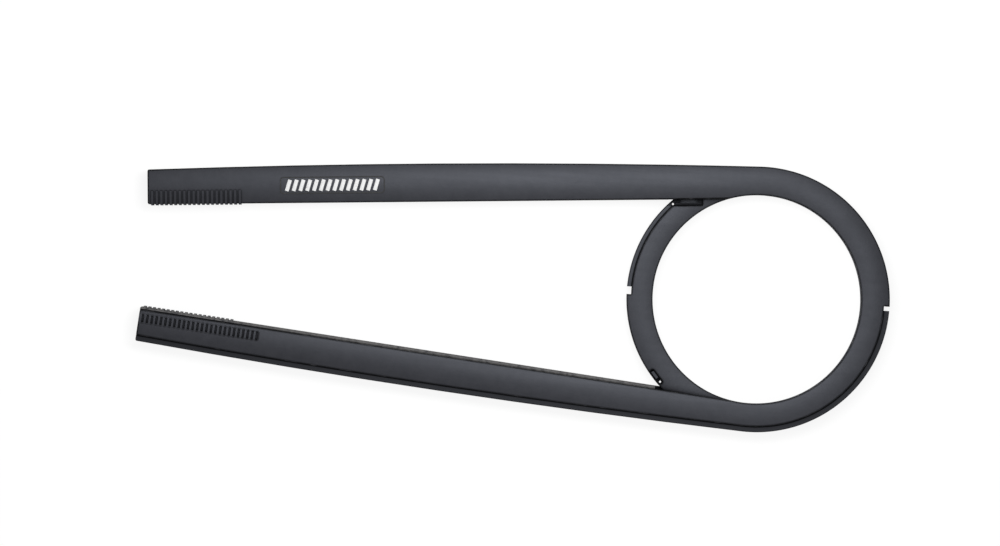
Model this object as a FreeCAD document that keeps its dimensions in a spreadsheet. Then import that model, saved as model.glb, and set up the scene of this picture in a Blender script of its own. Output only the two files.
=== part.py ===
import FreeCAD, Part
import math
import os
import Sketcher

# Front section of an enclosing bicycle chain case: two equal half shells, one turned over about X.
# Frame: crank axis at the origin, +X along the case towards its closed front, +Y to the upper arm,
# +Z out of the outer face, mid plane of the chain at Z = 0. Millimetres and degrees.

SIZES = {
    # Chain line and the walls on both sides of it
    "pitch_radius": 76.9,
    "outer_reach": 9.5,
    "hole_reach": 9.1,
    "arc_reach": 7.85,
    "arm_reach": 11.4,
    "arm_half_angle": 4.65,
    "arm_length": 395.5,
    "arm_end_height": 22.6,
    "bow_radius": 6500.0,
    # Levels from the mid plane
    "face_level": 10.0,
    "seat_level": 7.6,
    "rim_level": 8.2,
    "arc_face_level": 6.4,
    "arc_seat_level": 4.2,
    "arc_rim_level": 5.0,
    "crown_radius": 60.0,
    # Rims, ledges and the joint between the shells
    "outer_land": 3.1,
    "inner_land": 1.5,
    "arc_land": 2.4,
    "ledge": 0.6,
    "joint_gap": 0.6,
    "step_wall": 1.6,
    "front_notch": 2.8,
    "rear_notch": 5.0,
    "junction_gap": 3.0,
    # Latch ribs on the channel arm and latch slots on the lid arm
    "latch_pitch": 3.0,
    "rib_count": 20,
    "rib_inset": 2.2,
    "rib_width": 1.5,
    "rib_length": 8.6,
    "rib_height": 0.7,
    "slot_count": 26,
    "slot_inset": 2.0,
    "slot_width": 1.4,
    "slot_length": 5.2,
    "slot_edge": 4.9,
    "slot_depth": 1.1,
    # Snap tongue, its window and the groove beside the step
    "snap_angle": 139.4,
    "tongue_angle": 3.6,
    "tongue_wall": 1.5,
    "nose_height": 2.0,
    "nose_sink": 0.8,
    "window_angle": 5.8,
    "window_skin": 0.7,
    "peep_radius": 0.7,
    "groove_start": 34.5,
    "groove_width": 4.2,
    "groove_depth": 1.2,
    "groove_taper": 35.0,
    "slit_start": 38.0,
    "slit_width": 2.2,
    # Dressed edges
    "corner_round": 1.2,
    "rim_bevel": 0.7,
    "lip_bevel": 0.8,
}

# Sizes that follow from the named ones
RING = "(Sizes.pitch_radius + Sizes.outer_reach)"
HOLE = "(Sizes.pitch_radius - Sizes.hole_reach)"
ARC = "(Sizes.pitch_radius + Sizes.arc_reach)"
ARM = "(Sizes.pitch_radius - Sizes.arm_reach)"
LID_RING = f"({RING} - Sizes.outer_land - Sizes.joint_gap)"
LID_ARC = f"({ARC} - Sizes.arc_land - Sizes.joint_gap)"
LID_INSET = "(Sizes.inner_land + Sizes.joint_gap)"
OUTER_WALL = "(Sizes.outer_land + Sizes.joint_gap + Sizes.ledge)"
INNER_WALL = "(Sizes.inner_land + Sizes.joint_gap + Sizes.ledge)"
ARC_WALL = "(Sizes.arc_land + Sizes.joint_gap + Sizes.ledge)"
ARC_END = f"sqrt({ARC}^2 - {ARM}^2)"
INNER_START = f"({ARC_END} + Sizes.junction_gap)"
CROWN_HALF = "(Sizes.arm_reach + Sizes.outer_land)"
LEG_FOOT = "(Sizes.arc_seat_level - Sizes.joint_gap)"
NOSE_TOP = f"({LEG_FOOT} - Sizes.nose_height)"

# Lengths below which edges and points count as equal
TINY = 1e-6
NEAR = 1e-3

# Numbers that a sketch gives its axes, its origin and the points of an edge, and the signs of the arms
X_AXIS, Y_AXIS = -1, -2
ORIGIN = (-1, 1)
START, END, CENTRE = 1, 2, 3
UPPER, LOWER = 1, -1


def vector(x, y, z=0.0):
    return FreeCAD.Vector(x, y, z)


def line(start, end):
    return Part.LineSegment(start, end)


def arc(centre, radius, first, last):
    circle = Part.Circle(centre, vector(0, 0, 1), radius)
    return Part.ArcOfCircle(circle, first, last)


def angle_of(point, centre=FreeCAD.Vector()):
    return math.atan2(point.y - centre.y, point.x - centre.x)


def make_sheet(doc):
    sheet = doc.addObject("Spreadsheet::Sheet", "Sizes")
    for row, (name, number) in enumerate(SIZES.items(), start=1):
        sheet.set(f"A{row}", name)
        sheet.set(f"B{row}", str(number))
        sheet.setAlias(f"B{row}", name)
    doc.recompute()
    return sheet


class Shell:
    """One half shell: its body, and the numbers its sketches start from."""

    def __init__(self, doc, sheet, label):
        self.doc = doc
        self.sheet = sheet
        self.body = doc.addObject("PartDesign::Body", label)
        self.body.Label = label
        self.half_angle = math.radians(self.value("Sizes.arm_half_angle"))
        self.arm_length = self.value("Sizes.arm_length")

    def value(self, expression):
        return float(self.sheet.evalExpression(expression))

    def arm_point(self, side, along, across):
        """Point on an arm: distance along it from the crank axis, and out from its inner edge."""
        reach = self.value(ARM) + across
        x = -reach * math.sin(self.half_angle) - along * math.cos(self.half_angle)
        y = reach * math.cos(self.half_angle) - along * math.sin(self.half_angle)
        return vector(x, side * y)

    def at_crank(self, side, across):
        """Point where a line along an arm crosses the Y axis."""
        return vector(0, side * (self.value(ARM) + across) / math.cos(self.half_angle))

    def bow(self, side, inset):
        """Outer edge of an arm: centre of its arc, its end on the ring and its end at the arm's end."""
        ring = self.value(RING)
        radius = self.value("Sizes.bow_radius")
        height = self.value(ARM) + self.value("Sizes.arm_end_height")
        square = self.arm_length**2 + height**2
        reach = (ring * (2 * radius - ring) - square) / (2 * (radius - ring))
        turn = math.acos(reach / math.sqrt(square)) - math.atan2(self.arm_length, height)
        heading = math.pi / 2 + self.half_angle - turn
        outward = vector(math.cos(heading), side * math.sin(heading))
        centre = outward * (ring - radius)
        tangent = outward * (ring - inset)
        along = (radius - ring) * math.sin(turn)
        across = math.sqrt((radius - inset) ** 2 - (self.arm_length - along) ** 2)
        end_height = across - (radius - ring) * math.cos(turn) - self.value(ARM)
        end = self.arm_point(side, self.arm_length, end_height)
        return centre, radius - inset, tangent, end

    def sketch(self, name, plane, lift=None, turn=None, axis=None, shift=None):
        sketch = self.body.newObject("Sketcher::SketchObject", name)
        origin = self.body.Origin.OriginFeatures
        sketch.AttachmentSupport = [(next(f for f in origin if f.Role == plane), "")]
        sketch.MapMode = "FlatFace"
        if turn:
            rotation = FreeCAD.Rotation(axis, self.value(turn))
            sketch.AttachmentOffset = FreeCAD.Placement(FreeCAD.Vector(), rotation)
            sketch.setExpression("AttachmentOffset.Rotation.Angle", turn)
        if shift:
            sketch.setExpression("AttachmentOffset.Base.x", shift)
        if lift:
            sketch.setExpression("AttachmentOffset.Base.z", lift)
        return sketch

    def loop(self, sketch, edges, smooth=()):
        """Add a closed run of edges, joined end to end, smoothly after those named, and return their numbers."""
        ids = [sketch.addGeometry(edge, False) for edge in edges]
        for place, (here, there) in enumerate(zip(ids, ids[1:] + ids[:1])):
            gaps = {
                (first, second): sketch.getPoint(here, first).distanceToPoint(sketch.getPoint(there, second))
                for first in (START, END)
                for second in (START, END)
            }
            first, second = min(gaps, key=gaps.get)
            joint = "Tangent" if place in smooth else "Coincident"
            sketch.addConstraint(Sketcher.Constraint(joint, here, first, there, second))
        return ids

    def bind(self, sketch, expression, kind, *places):
        number = self.value(expression)
        if kind == "Angle":
            constraint = Sketcher.Constraint(kind, *places, math.radians(number))
            expression = f"({expression}) * 1 deg"
        else:
            constraint = Sketcher.Constraint(kind, *places, number)
        index = sketch.addConstraint(constraint)
        sketch.setExpression(f"Constraints[{index}]", expression)

    def round_origin(self, sketch, edge, radius):
        sketch.addConstraint(Sketcher.Constraint("Coincident", edge, CENTRE, *ORIGIN))
        self.bind(sketch, radius, "Radius", edge)

    def along_arm(self, sketch, edge, side, reach):
        """A line from an arm's end towards the ring, at a distance from the crank axis."""
        turn = "Sizes.arm_half_angle" if side == UPPER else "-Sizes.arm_half_angle"
        self.bind(sketch, turn, "Angle", edge)
        self.bind(sketch, reach, "Distance", *ORIGIN, edge)

    def across_arm(self, sketch, edge, beside, reach):
        """A line square across an arm, at a distance along it."""
        sketch.addConstraint(Sketcher.Constraint("Perpendicular", edge, beside))
        self.bind(sketch, reach, "Distance", *ORIGIN, edge)

    def pad(self, name, sketch, length, upward=True):
        feature = self.body.newObject("PartDesign::Pad", name)
        feature.Profile = sketch
        feature.setExpression("Length", length)
        feature.Reversed = not upward
        self.doc.recompute()
        return feature

    def pocket(self, name, sketch, length):
        feature = self.body.newObject("PartDesign::Pocket", name)
        feature.Profile = sketch
        feature.setExpression("Length", length)
        self.doc.recompute()
        return feature

    def crown(self, sketch, side, level):
        """Profile of what lies above the crowned face: an arc over the chain line and a lid well above it."""
        half = self.value(CROWN_HALF)
        radius = self.value("Sizes.crown_radius")
        reach = side * self.value("Sizes.pitch_radius")
        bottom = self.value(level) - radius
        left = vector(reach - half, bottom + math.sqrt(radius**2 - half**2))
        right = vector(reach + half, left.y)
        lift = vector(0, self.value("Sizes.face_level"))
        middle = vector(reach, bottom)
        edges = [
            arc(middle, radius, angle_of(right, middle), angle_of(left, middle)),
            line(left, left + lift),
            line(left + lift, right + lift),
            line(right + lift, right),
        ]
        ids = self.loop(sketch, edges)
        self.bind(sketch, "Sizes.crown_radius", "Radius", ids[0])
        self.bind(sketch, f"{side} * Sizes.pitch_radius", "DistanceX", *ORIGIN, ids[0], CENTRE)
        self.bind(sketch, f"{level} - Sizes.crown_radius", "DistanceY", *ORIGIN, ids[0], CENTRE)
        self.bind(sketch, CROWN_HALF, "DistanceX", ids[1], START, ids[0], CENTRE)
        self.bind(sketch, CROWN_HALF, "DistanceX", ids[0], CENTRE, ids[3], END)
        sketch.addConstraint(Sketcher.Constraint("Vertical", ids[1]))
        sketch.addConstraint(Sketcher.Constraint("Horizontal", ids[2]))
        sketch.addConstraint(Sketcher.Constraint("Vertical", ids[3]))
        self.bind(sketch, "Sizes.face_level", "Distance", ids[1])

    def crown_ring(self, name, level, angle):
        sketch = self.sketch(f"{name}Profile", "XZ_Plane")
        self.crown(sketch, UPPER, level)
        groove = self.body.newObject("PartDesign::Groove", name)
        groove.Profile = sketch
        groove.ReferenceAxis = (sketch, ["V_Axis"])
        groove.Midplane = True
        groove.setExpression("Angle", angle)
        self.doc.recompute()

    def crown_arm(self, name, side):
        axis = vector(0, side)
        sketch = self.sketch(f"{name}Profile", "YZ_Plane", turn="Sizes.arm_half_angle", axis=axis)
        self.crown(sketch, side, "Sizes.face_level")
        self.pocket(name, sketch, "Sizes.arm_length * 2")

    def rear_arc(self):
        """Set-back plate round the rear of the hole, wider where it carries its own rim."""
        sketch = self.sketch("ArcOutline", "XY_Plane", lift="Sizes.arc_seat_level")
        upper_across = "Sizes.inner_land"
        lower_across = f"({LID_INSET} + Sizes.step_wall / 2)"
        lid = self.value(LID_ARC)
        rim = self.value(ARC)
        step = -self.value("Sizes.rear_notch") / 2
        top = self.circle_on_arm(UPPER, lid, self.value(upper_across))
        bottom = self.circle_on_arm(LOWER, rim, self.value(lower_across))
        inner_step = vector(-math.sqrt(lid**2 - step**2), step)
        outer_step = vector(-math.sqrt(rim**2 - step**2), step)
        crank_top = self.at_crank(UPPER, self.value(upper_across))
        crank_bottom = self.at_crank(LOWER, self.value(lower_across))
        turn = 2 * math.pi
        edges = [
            arc(vector(0, 0), lid, angle_of(top), angle_of(inner_step) + turn),
            line(inner_step, outer_step),
            arc(vector(0, 0), rim, angle_of(outer_step) + turn, angle_of(bottom) + turn),
            line(bottom, crank_bottom),
            line(crank_bottom, crank_top),
            line(top, crank_top),
        ]
        ids = self.loop(sketch, edges)
        self.round_origin(sketch, ids[0], LID_ARC)
        self.round_origin(sketch, ids[2], ARC)
        sketch.addConstraint(Sketcher.Constraint("Horizontal", ids[1]))
        self.bind(sketch, "Sizes.rear_notch / 2", "DistanceY", ids[1], START, *ORIGIN)
        self.along_arm(sketch, ids[3], LOWER, f"{ARM} + {lower_across}")
        self.along_arm(sketch, ids[5], UPPER, f"{ARM} + {upper_across}")
        sketch.addConstraint(Sketcher.Constraint("PointOnObject", ids[3], END, Y_AXIS))
        sketch.addConstraint(Sketcher.Constraint("PointOnObject", ids[5], END, Y_AXIS))
        self.pad("ArcPlate", sketch, "Sizes.arc_face_level - Sizes.arc_seat_level")
        self.crown_ring("ArcCrown", "Sizes.arc_face_level", "360")

    def circle_on_arm(self, side, radius, across):
        """Point where a circle about the crank axis crosses a line along an arm, behind the axis."""
        along = math.sqrt(radius**2 - (self.value(ARM) + across) ** 2)
        return self.arm_point(side, along, across)

    def arm_strip(self, sketch, start, finish, near, far):
        """Straight strip along the upper arm, and the number of its edge nearer the crank axis."""
        begin = self.value(start)
        stop = self.value(finish)
        inner = self.value(near)
        outer = self.value(far)
        edges = [
            line(self.arm_point(UPPER, stop, inner), self.arm_point(UPPER, begin, inner)),
            line(self.arm_point(UPPER, begin, inner), self.arm_point(UPPER, begin, outer)),
            line(self.arm_point(UPPER, stop, outer), self.arm_point(UPPER, begin, outer)),
            line(self.arm_point(UPPER, stop, outer), self.arm_point(UPPER, stop, inner)),
        ]
        ids = self.loop(sketch, edges)
        self.along_arm(sketch, ids[0], UPPER, f"{ARM} + {near}")
        self.along_arm(sketch, ids[2], UPPER, f"{ARM} + {far}")
        self.across_arm(sketch, ids[1], ids[0], start)
        self.across_arm(sketch, ids[3], ids[0], finish)
        return ids[0]

    def step_strip(self, sketch, side, end, near, far):
        """Straight strip along an arm from the Y axis back to an end distance."""
        finish = self.value(end)
        inner = self.value(near)
        outer = self.value(far)
        edges = [
            line(self.arm_point(side, finish, inner), self.at_crank(side, inner)),
            line(self.at_crank(side, inner), self.at_crank(side, outer)),
            line(self.arm_point(side, finish, outer), self.at_crank(side, outer)),
            line(self.arm_point(side, finish, outer), self.arm_point(side, finish, inner)),
        ]
        ids = self.loop(sketch, edges)
        self.along_arm(sketch, ids[0], side, f"{ARM} + {near}")
        self.along_arm(sketch, ids[2], side, f"{ARM} + {far}")
        self.across_arm(sketch, ids[3], ids[0], end)
        sketch.addConstraint(Sketcher.Constraint("PointOnObject", ids[0], END, Y_AXIS))
        sketch.addConstraint(Sketcher.Constraint("PointOnObject", ids[2], END, Y_AXIS))

    def steps(self):
        """Walls that join the set-back rear plate to the faces of both arms."""
        sketch = self.sketch("StepOutline", "XY_Plane", lift="Sizes.arc_seat_level")
        self.step_strip(sketch, UPPER, INNER_START, "0", INNER_WALL)
        self.step_strip(sketch, LOWER, ARC_END, LID_INSET, f"({LID_INSET} + Sizes.step_wall)")
        self.pad("Steps", sketch, "Sizes.seat_level - Sizes.arc_seat_level")

    def arc_rim(self, name, wall, level):
        """Rim under the lower rear quarter of the set-back plate."""
        sketch = self.sketch(f"{name}Outline", "XY_Plane", lift="Sizes.arc_seat_level")
        outer = self.value(ARC)
        inner = outer - self.value(wall)
        step = -self.value("Sizes.rear_notch") / 2
        across = -self.value("Sizes.joint_gap")
        outer_low = self.circle_on_arm(LOWER, outer, across)
        inner_low = self.circle_on_arm(LOWER, inner, across)
        outer_step = vector(-math.sqrt(outer**2 - step**2), step)
        inner_step = vector(-math.sqrt(inner**2 - step**2), step)
        turn = 2 * math.pi
        edges = [
            arc(vector(0, 0), outer, angle_of(outer_step) + turn, angle_of(outer_low) + turn),
            line(outer_low, inner_low),
            arc(vector(0, 0), inner, angle_of(inner_step) + turn, angle_of(inner_low) + turn),
            line(inner_step, outer_step),
        ]
        ids = self.loop(sketch, edges)
        self.round_origin(sketch, ids[0], ARC)
        self.round_origin(sketch, ids[2], f"{ARC} - {wall}")
        self.along_arm(sketch, ids[1], LOWER, f"{ARM} - Sizes.joint_gap")
        sketch.addConstraint(Sketcher.Constraint("Horizontal", ids[3]))
        self.bind(sketch, "Sizes.rear_notch / 2", "DistanceY", ids[3], START, *ORIGIN)
        self.pad(name, sketch, f"Sizes.arc_seat_level + {level}", upward=False)

    def face(self):
        """Face of both arms and the front of the ring: full width above, a narrower lid below."""
        sketch = self.sketch("FaceOutline", "XY_Plane", lift="Sizes.seat_level")
        inset = self.value("Sizes.outer_land + Sizes.joint_gap")
        lid_inset = self.value(LID_INSET)
        lid = self.value(LID_RING)
        ring = self.value(RING)
        step = self.value("Sizes.front_notch") / 2
        top_centre, top_radius, top_tangent, top_end = self.bow(UPPER, 0.0)
        low_centre, low_radius, low_tangent, low_end = self.bow(LOWER, inset)
        inner_end = self.arm_point(UPPER, self.arm_length, 0)
        lid_end = self.arm_point(LOWER, self.arm_length, lid_inset)
        outer_step = vector(math.sqrt(ring**2 - step**2), step)
        inner_step = vector(math.sqrt(lid**2 - step**2), step)
        top_crank = self.at_crank(UPPER, 0)
        low_crank = self.at_crank(LOWER, lid_inset)
        edges = [
            line(inner_end, top_crank),
            line(top_crank, low_crank),
            line(lid_end, low_crank),
            line(low_end, lid_end),
            arc(low_centre, low_radius, angle_of(low_end, low_centre), angle_of(low_tangent, low_centre)),
            arc(vector(0, 0), lid, angle_of(low_tangent), angle_of(inner_step)),
            line(inner_step, outer_step),
            arc(vector(0, 0), ring, angle_of(outer_step), angle_of(top_tangent)),
            arc(top_centre, top_radius, angle_of(top_tangent, top_centre), angle_of(top_end, top_centre)),
            line(top_end, inner_end),
        ]
        ids = self.loop(sketch, edges, smooth=(4, 7))
        self.along_arm(sketch, ids[0], UPPER, ARM)
        self.along_arm(sketch, ids[2], LOWER, f"{ARM} + {LID_INSET}")
        sketch.addConstraint(Sketcher.Constraint("PointOnObject", ids[0], END, Y_AXIS))
        sketch.addConstraint(Sketcher.Constraint("PointOnObject", ids[2], END, Y_AXIS))
        self.across_arm(sketch, ids[3], ids[2], "Sizes.arm_length")
        self.across_arm(sketch, ids[9], ids[0], "Sizes.arm_length")
        self.bind(sketch, "Sizes.arm_end_height", "Distance", ids[9])
        self.round_origin(sketch, ids[5], LID_RING)
        self.round_origin(sketch, ids[7], RING)
        sketch.addConstraint(Sketcher.Constraint("Horizontal", ids[6]))
        self.bind(sketch, "Sizes.front_notch / 2", "DistanceY", *ORIGIN, ids[6], START)
        self.bind(sketch, "Sizes.bow_radius", "Radius", ids[8])
        sketch.addConstraint(Sketcher.Constraint("Symmetric", ids[8], CENTRE, ids[4], CENTRE, X_AXIS))
        self.pad("Face", sketch, "Sizes.face_level - Sizes.seat_level")
        self.crown_ring("RingCrown", "Sizes.face_level", "180 + 2 * Sizes.arm_half_angle")
        self.crown_arm("UpperCrown", UPPER)
        self.crown_arm("LowerCrown", LOWER)

    def rims(self, name, outer_wall, inner_wall, level):
        """Outer rim of the upper arm and upper front quarter, and inner rim of the upper arm."""
        sketch = self.sketch(f"{name}Outline", "XY_Plane", lift="Sizes.seat_level")
        wall = self.value(outer_wall)
        ring = self.value(RING)
        step = self.value("Sizes.front_notch") / 2
        outer_centre, outer_radius, outer_tangent, outer_end = self.bow(UPPER, 0.0)
        inner_centre, inner_radius, inner_tangent, inner_end = self.bow(UPPER, wall)
        outer_step = vector(math.sqrt(ring**2 - step**2), step)
        inner_step = vector(math.sqrt((ring - wall) ** 2 - step**2), step)
        edges = [
            arc(vector(0, 0), ring, angle_of(outer_step), angle_of(outer_tangent)),
            arc(outer_centre, outer_radius, angle_of(outer_tangent, outer_centre), angle_of(outer_end, outer_centre)),
            line(inner_end, outer_end),
            arc(inner_centre, inner_radius, angle_of(inner_tangent, inner_centre), angle_of(inner_end, inner_centre)),
            arc(vector(0, 0), ring - wall, angle_of(inner_step), angle_of(inner_tangent)),
            line(inner_step, outer_step),
        ]
        ids = self.loop(sketch, edges, smooth=(0, 3))
        self.round_origin(sketch, ids[0], RING)
        self.round_origin(sketch, ids[4], f"{RING} - {outer_wall}")
        self.bind(sketch, "Sizes.bow_radius", "Radius", ids[1])
        sketch.addConstraint(Sketcher.Constraint("Coincident", ids[1], CENTRE, ids[3], CENTRE))
        sketch.addConstraint(Sketcher.Constraint("Horizontal", ids[5]))
        self.bind(sketch, "Sizes.front_notch / 2", "DistanceY", *ORIGIN, ids[5], START)
        inner_edge = self.arm_strip(sketch, INNER_START, "Sizes.arm_length", "0", inner_wall)
        self.across_arm(sketch, ids[2], inner_edge, "Sizes.arm_length")
        self.bind(sketch, "Sizes.arm_end_height", "Distance", ids[2], END, inner_edge)
        self.pad(name, sketch, f"Sizes.seat_level + {level}", upward=False)

    def hole(self):
        """Crank opening through the whole shell."""
        sketch = self.sketch("HoleOutline", "XY_Plane", lift="Sizes.face_level")
        circle = sketch.addGeometry(Part.Circle(vector(0, 0), vector(0, 0, 1), self.value(HOLE)), False)
        self.round_origin(sketch, circle, HOLE)
        self.pocket("Hole", sketch, "Sizes.face_level * 2")

    def groove(self):
        """Recess in the set-back plate beside the upper step wall, with a slit through its floor."""
        sketch = self.sketch("GrooveOutline", "XY_Plane", lift="Sizes.arc_face_level")
        self.arm_strip(sketch, "Sizes.groove_start", INNER_START, "-Sizes.groove_width", "0")
        groove = self.pocket("Groove", sketch, "Sizes.groove_depth")
        groove.setExpression("TaperAngle", "-Sizes.groove_taper")
        slit = self.sketch("SlitOutline", "XY_Plane", lift="Sizes.arc_face_level")
        self.arm_strip(slit, "Sizes.slit_start", INNER_START, "-Sizes.slit_width", "0")
        self.pocket("Slit", slit, "Sizes.arc_face_level - Sizes.arc_seat_level")

    def tongue(self):
        """Snap tongue under the set-back plate, with a nose that turns out into the other shell's window."""
        sketch = self.sketch("TongueProfile", "XZ_Plane", turn="Sizes.snap_angle", axis=vector(0, 1))
        leg_outer = f"({ARC} - {ARC_WALL} - Sizes.joint_gap)"
        leg_inner = f"({leg_outer} - Sizes.tongue_wall)"
        nose_outer = f"({ARC} - Sizes.window_skin - Sizes.joint_gap)"
        nose_inner = f"({ARC} - {ARC_WALL} + Sizes.joint_gap)"
        nose_foot = "(Sizes.arc_face_level - Sizes.nose_sink)"
        corners = [
            (leg_inner, "-Sizes.arc_seat_level"),
            (leg_outer, "-Sizes.arc_seat_level"),
            (leg_outer, NOSE_TOP),
            (nose_outer, NOSE_TOP),
            (nose_outer, nose_foot),
            (nose_inner, nose_foot),
            (nose_inner, LEG_FOOT),
            (leg_inner, LEG_FOOT),
        ]
        points = [vector(self.value(reach), -self.value(depth)) for reach, depth in corners]
        ids = self.loop(sketch, [line(*pair) for pair in zip(points, points[1:] + points[:1])])
        for place, (reach, depth) in enumerate(corners):
            if place % 2 == 0:
                sketch.addConstraint(Sketcher.Constraint("Horizontal", ids[place]))
                self.bind(sketch, depth, "DistanceY", ids[place], START, *ORIGIN)
            else:
                sketch.addConstraint(Sketcher.Constraint("Vertical", ids[place]))
                self.bind(sketch, reach, "DistanceX", *ORIGIN, ids[place], START)
        tongue = self.body.newObject("PartDesign::Revolution", "Tongue")
        tongue.Profile = sketch
        tongue.ReferenceAxis = (sketch, ["V_Axis"])
        tongue.Midplane = True
        tongue.setExpression("Angle", "Sizes.tongue_angle")
        self.doc.recompute()

    def window(self):
        """Round-ended window into the rear rim, opposite the tongue, and a small hole right through at its end."""
        sketch = self.sketch("WindowOutline", "XY_Plane", lift="Sizes.face_level")
        first_turn = "(180 - Sizes.snap_angle - Sizes.tongue_angle / 2)"
        last_turn = f"({first_turn} + Sizes.window_angle)"
        outer_radius = f"({ARC} - Sizes.window_skin)"
        inner_radius = f"({ARC} - {ARC_WALL})"
        outer = self.value(outer_radius)
        inner = self.value(inner_radius)
        first = math.pi + math.radians(self.value(first_turn))
        last = math.pi + math.radians(self.value(last_turn))
        middle = (outer + inner) / 2
        cap = (outer - inner) / 2
        first_centre = vector(middle * math.cos(first), middle * math.sin(first))
        last_centre = vector(middle * math.cos(last), middle * math.sin(last))
        edges = [
            arc(vector(0, 0), outer, first, last),
            arc(last_centre, cap, last, last + math.pi),
            arc(vector(0, 0), inner, first, last),
            arc(first_centre, cap, first + math.pi, first + 2 * math.pi),
        ]
        ids = self.loop(sketch, edges, smooth=(0, 1, 2, 3))
        self.round_origin(sketch, ids[0], outer_radius)
        self.round_origin(sketch, ids[2], inner_radius)
        for end, centre, turn in ((ids[1], last_centre, last_turn), (ids[3], first_centre, first_turn)):
            ray = sketch.addGeometry(line(centre, vector(0, 0)), True)
            sketch.addConstraint(Sketcher.Constraint("Coincident", ray, START, end, CENTRE))
            sketch.addConstraint(Sketcher.Constraint("Coincident", ray, END, *ORIGIN))
            self.bind(sketch, turn, "Angle", ray)
        self.pocket("Window", sketch, f"Sizes.face_level - {NOSE_TOP} + Sizes.joint_gap")
        peep = self.sketch("PeepOutline", "XY_Plane", lift="Sizes.face_level")
        circle = peep.addGeometry(Part.Circle(last_centre, vector(0, 0, 1), self.value("Sizes.peep_radius")), False)
        ray = peep.addGeometry(line(last_centre, vector(0, 0)), True)
        peep.addConstraint(Sketcher.Constraint("Coincident", ray, START, circle, CENTRE))
        peep.addConstraint(Sketcher.Constraint("Coincident", ray, END, *ORIGIN))
        self.bind(peep, last_turn, "Angle", ray)
        self.bind(peep, f"({outer_radius} + {inner_radius}) / 2", "Distance", ray)
        self.bind(peep, "Sizes.peep_radius", "Radius", circle)
        self.pocket("Peep", peep, "Sizes.face_level * 2")

    def repeat(self, name, feature, direction, count):
        pattern = self.body.newObject("PartDesign::LinearPattern", name)
        pattern.Originals = [feature]
        pattern.Direction = direction
        pattern.Mode = "Spacing"
        pattern.setExpression("Offset", "Sizes.latch_pitch")
        pattern.setExpression("Occurrences", count)
        self.body.Tip = pattern
        self.doc.recompute()

    def ribs(self):
        """Latch ribs that run up the inner side of the channel arm and turn onto its face."""
        along = "(Sizes.arm_length - Sizes.rib_inset)"
        sketch = self.sketch(
            "RibProfile",
            "YZ_Plane",
            turn="Sizes.arm_half_angle",
            axis=vector(0, 1),
            shift=f"-{along} * sin(Sizes.arm_half_angle)",
            lift=f"-{along} * cos(Sizes.arm_half_angle)",
        )
        side = f"({ARM} - Sizes.rib_height)"
        root = f"({ARM} + Sizes.inner_land / 2)"
        tip = f"({ARM} + Sizes.rib_length)"
        base = "((Sizes.seat_level + Sizes.rim_level) / 2)"
        middle = vector(self.value("Sizes.pitch_radius"), self.value("Sizes.face_level - Sizes.crown_radius"))
        radius = self.value("Sizes.crown_radius + Sizes.rib_height")
        foot = -self.value("Sizes.rim_level")

        def on_crown(reach):
            return vector(reach, middle.y + math.sqrt(radius**2 - (reach - middle.x) ** 2))

        corner = on_crown(self.value(side))
        top = on_crown(self.value(tip))
        toe = vector(self.value(f"{tip} + Sizes.rib_width"), self.value(base))
        bend = vector(self.value(root), toe.y)
        edges = [
            line(vector(corner.x, foot), corner),
            arc(middle, radius, angle_of(top, middle), angle_of(corner, middle)),
            line(top, toe),
            line(toe, bend),
            line(bend, vector(bend.x, foot)),
            line(vector(bend.x, foot), vector(corner.x, foot)),
        ]
        ids = self.loop(sketch, edges)
        for upright in (ids[0], ids[4]):
            sketch.addConstraint(Sketcher.Constraint("Vertical", upright))
        for level in (ids[3], ids[5]):
            sketch.addConstraint(Sketcher.Constraint("Horizontal", level))
        self.bind(sketch, "Sizes.crown_radius + Sizes.rib_height", "Radius", ids[1])
        self.bind(sketch, "Sizes.pitch_radius", "DistanceX", *ORIGIN, ids[1], CENTRE)
        self.bind(sketch, "Sizes.face_level - Sizes.crown_radius", "DistanceY", *ORIGIN, ids[1], CENTRE)
        self.bind(sketch, side, "DistanceX", *ORIGIN, ids[0], START)
        self.bind(sketch, tip, "DistanceX", *ORIGIN, ids[2], START)
        self.bind(sketch, f"{tip} + Sizes.rib_width", "DistanceX", *ORIGIN, ids[3], START)
        self.bind(sketch, root, "DistanceX", *ORIGIN, ids[4], START)
        self.bind(sketch, base, "DistanceY", *ORIGIN, ids[4], START)
        self.bind(sketch, "Sizes.rim_level", "DistanceY", ids[0], START, *ORIGIN)
        rib = self.pad("Rib", sketch, "Sizes.rib_width")
        self.repeat("Ribs", rib, (sketch, ["N_Axis"]), "Sizes.rib_count")

    def slots(self):
        """Latch slots sunk into the face of the lid arm."""
        sketch = self.sketch(
            "SlotOutline", "XY_Plane", lift="Sizes.face_level", turn="Sizes.arm_half_angle", axis=vector(0, 0, -1)
        )
        far_side = "(Sizes.arm_length - Sizes.slot_inset)"
        near_side = f"({far_side} - Sizes.slot_width)"
        top_reach = f"({ARM} + Sizes.slot_edge)"
        low_reach = f"({top_reach} + Sizes.slot_length)"
        left = -self.value(far_side)
        right = -self.value(near_side)
        top = -self.value(top_reach)
        low = -self.value(low_reach)
        corners = [vector(left, top), vector(left, low), vector(right, low), vector(right, top)]
        ids = self.loop(sketch, [line(*pair) for pair in zip(corners, corners[1:] + corners[:1])])
        for place, kind in enumerate(("Vertical", "Horizontal", "Vertical", "Horizontal")):
            sketch.addConstraint(Sketcher.Constraint(kind, ids[place]))
        self.bind(sketch, far_side, "DistanceX", ids[0], START, *ORIGIN)
        self.bind(sketch, top_reach, "DistanceY", ids[0], START, *ORIGIN)
        self.bind(sketch, near_side, "DistanceX", ids[2], START, *ORIGIN)
        self.bind(sketch, low_reach, "DistanceY", ids[2], START, *ORIGIN)
        slot = self.pocket("Slot", sketch, "Sizes.slot_depth")
        self.repeat("Slots", slot, (sketch, ["H_Axis"]), "Sizes.slot_count")

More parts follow.
